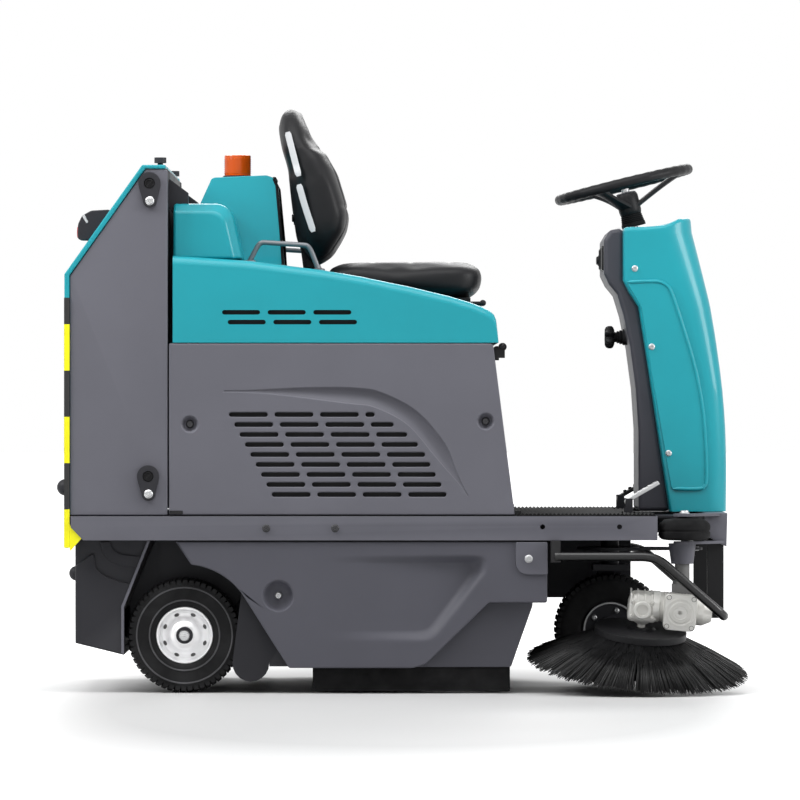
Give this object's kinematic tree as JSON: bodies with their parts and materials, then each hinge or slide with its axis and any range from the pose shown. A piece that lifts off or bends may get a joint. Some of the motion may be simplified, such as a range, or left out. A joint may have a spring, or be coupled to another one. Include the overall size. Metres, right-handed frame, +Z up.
{
  "type": "ride on sweeper",
  "caption": "Ride-on floor sweeper with seat, steering wheel, main broom, side brush, tipping rear hopper and steered front drive wheel.",
  "frame": {"origin": "on the floor under the middle of the bounding box", "axes": "+X forward, +Y to the machine's left, +Z up"},
  "size_m": [1.5002, 1.0569, 1.2757],
  "materials": {
    "teal_panel": "satin gloss",
    "grey_panel": "fine grain",
    "grey_steel": "satin",
    "dark_steel": "satin",
    "dark_plastic": "matte",
    "black_steel": "satin",
    "black_plastic": "matte",
    "rubber": "matte",
    "tyre": "matte",
    "rim": "satin",
    "steel": "brushed",
    "cast_alloy": "cast",
    "vinyl": "soft grain",
    "lens": "clear gloss",
    "filter_paper": "matte",
    "bristle": "matte strands"
  },
  "bodies": {
    "chassis": {"side_rails": "grey_steel", "deck_frame": "dark_steel", "front_beam": "grey_steel", "floor_mat": "rubber", "right_side_cover": "grey_panel", "left_side_cover": "grey_panel", "front_panel": "grey_panel", "right_skirt": "grey_panel", "left_skirt": "grey_panel", "dust_flaps": "rubber", "masts": "dark_steel", "console_shell": "teal_panel", "console_back": "grey_panel", "broom_housing": "dark_steel", "front_guard": "black_steel", "batteries": "black_plastic", "rear_axles": "steel", "suction_fan": "cast_alloy", "steering_chain": "steel", "fasteners": "steel", "hood_hinges": "black_steel"},
    "hood": {"top_cover": "teal_panel", "filter_block": "teal_panel", "tower": "teal_panel", "beacon": "lens", "grab_bars": "steel", "seat_rails": "steel"},
    "seat": {"seat_pan": "black_steel", "seat_cushion": "vinyl"},
    "seat_back": {"backrest": "vinyl"},
    "slide_lever": {"seat_lever": "black_plastic"},
    "hopper": {"hopper_shell": "grey_panel", "hopper_cover": "teal_panel", "hopper_bin": "dark_plastic", "hopper_fittings": "dark_plastic", "rear_lamps": "dark_plastic", "rear_buffers": "rubber", "filter_panel": "filter_paper"},
    "helm": {"steering_wheel": "black_plastic", "steering_shaft": "steel"},
    "lower_steering": {"lower_shaft": "steel"},
    "steering_fork": {"fork": "dark_steel"},
    "drive_wheel": {"front_tyre": "tyre", "drive_hub": "dark_steel"},
    "right_wheel": {"right_tyre": "tyre", "right_rim": "rim"},
    "left_wheel": {"left_tyre": "tyre", "left_rim": "rim"},
    "brush_unit": {"lift_rod": "dark_steel", "gearmotor": "cast_alloy"},
    "side_brush": {"brush_disc": "dark_plastic", "side_bristles": "bristle"},
    "broom_carrier": {"broom_arms": "grey_steel"},
    "broom": {"broom_core": "dark_plastic", "broom_bristles": "bristle"},
    "drive_treadle": {"drive_pedal": "steel"},
    "brake_treadle": {"brake_pedal": "black_plastic"},
    "console_knob": {"control_knob": "black_plastic"},
    "right_corner": {"right_roller": "rubber"},
    "left_corner": {"left_roller": "rubber"}
  },
  "joints": [
    {"name": "hopper_tilt", "type": "hinge", "parent": "chassis", "child": "hopper", "pos_m": [-0.54812, 0.06957, 1.103], "axis": [0, 1, 0], "range_deg": [0, 65]},
    {"name": "hood_tilt", "type": "hinge", "parent": "chassis", "child": "hood", "pos_m": [0.21488, 0.06957, 0.75], "axis": [0, 1, 0], "range_deg": [0, 45]},
    {"name": "seat_slide", "type": "slide", "parent": "hood", "child": "seat", "axis": [1, 0, 0], "range_m": [0, 0.08]},
    {"name": "backrest_lean", "type": "hinge", "parent": "seat", "child": "seat_back", "pos_m": [-0.20712, 0.06957, 0.938], "axis": [0, 1, 0], "range_deg": [0, 15]},
    {"name": "seat_lever_swing", "type": "hinge", "parent": "seat", "child": "slide_lever", "pos_m": [0.11688, -0.12643, 0.848], "axis": [0, 0, -1], "range_deg": [0, 15], "stiffness_Nm_per_rad": 1, "springref_deg": -5.73},
    {"name": "fork_steer", "type": "hinge", "parent": "chassis", "child": "steering_fork", "pos_m": [0.46088, 0.06957, 0.3], "axis": [0, 0, 1], "range_deg": [-50, 50]},
    {"name": "helm_turn", "type": "hinge", "parent": "chassis", "child": "helm", "pos_m": [0.49188, 0.06957, 1.115], "axis": [-0.2368, 0, 0.9715], "range_deg": [-150, 150]},
    {"name": "lower_shaft_turn", "type": "hinge", "parent": "chassis", "child": "lower_steering", "pos_m": [0.63791, 0.06957, 0.4], "axis": [0, 0, 1], "range_deg": [-150, 150]},
    {"name": "drive_wheel_roll", "type": "hinge", "parent": "steering_fork", "child": "drive_wheel", "pos_m": [0.46088, 0.06957, 0.125], "axis": [0, 1, 0], "continuous": true},
    {"name": "right_wheel_roll", "type": "hinge", "parent": "chassis", "child": "right_wheel", "pos_m": [-0.47412, -0.27843, 0.125], "axis": [0, 1, 0], "continuous": true},
    {"name": "left_wheel_roll", "type": "hinge", "parent": "chassis", "child": "left_wheel", "pos_m": [-0.47412, 0.41757, 0.125], "axis": [0, 1, 0], "continuous": true},
    {"name": "brush_lift", "type": "slide", "parent": "chassis", "child": "brush_unit", "axis": [0, 0, 1], "range_m": [0, 0.035]},
    {"name": "side_brush_spin", "type": "hinge", "parent": "brush_unit", "child": "side_brush", "pos_m": [0.51488, -0.30543, 0.136], "axis": [0.0856, -0.1908, 0.9779], "continuous": true},
    {"name": "broom_lift", "type": "hinge", "parent": "chassis", "child": "broom_carrier", "pos_m": [-0.16712, 0.06957, 0.28], "axis": [0, -1, 0], "range_deg": [0, 8]},
    {"name": "broom_spin", "type": "hinge", "parent": "broom_carrier", "child": "broom", "pos_m": [0.01688, 0.06957, 0.138], "axis": [0, 1, 0], "continuous": true},
    {"name": "drive_pedal_press", "type": "hinge", "parent": "chassis", "child": "drive_treadle", "pos_m": [0.49288, -0.18243, 0.412], "axis": [0, 1, 0], "range_deg": [0, 16], "stiffness_Nm_per_rad": 6, "springref_deg": -5.73},
    {"name": "brake_pedal_press", "type": "hinge", "parent": "chassis", "child": "brake_treadle", "pos_m": [0.49288, 0.32157, 0.412], "axis": [0, 1, 0], "range_deg": [0, 16], "stiffness_Nm_per_rad": 6, "springref_deg": -5.73},
    {"name": "knob_turn", "type": "hinge", "parent": "chassis", "child": "console_knob", "pos_m": [0.44888, 0.06957, 0.775], "axis": [1, 0, 0], "range_deg": [-135, 135]},
    {"name": "right_roller_spin", "type": "hinge", "parent": "chassis", "child": "right_corner", "pos_m": [0.60888, -0.32843, 0.356], "axis": [0, 0, 1], "continuous": true},
    {"name": "left_roller_spin", "type": "hinge", "parent": "chassis", "child": "left_corner", "pos_m": [0.60888, 0.46757, 0.356], "axis": [0, 0, 1], "continuous": true}
  ],
  "couplings": [
    {"joint": "helm_turn", "follows": "fork_steer", "ratio": 3},
    {"joint": "lower_shaft_turn", "follows": "fork_steer", "ratio": 3}
  ]
}
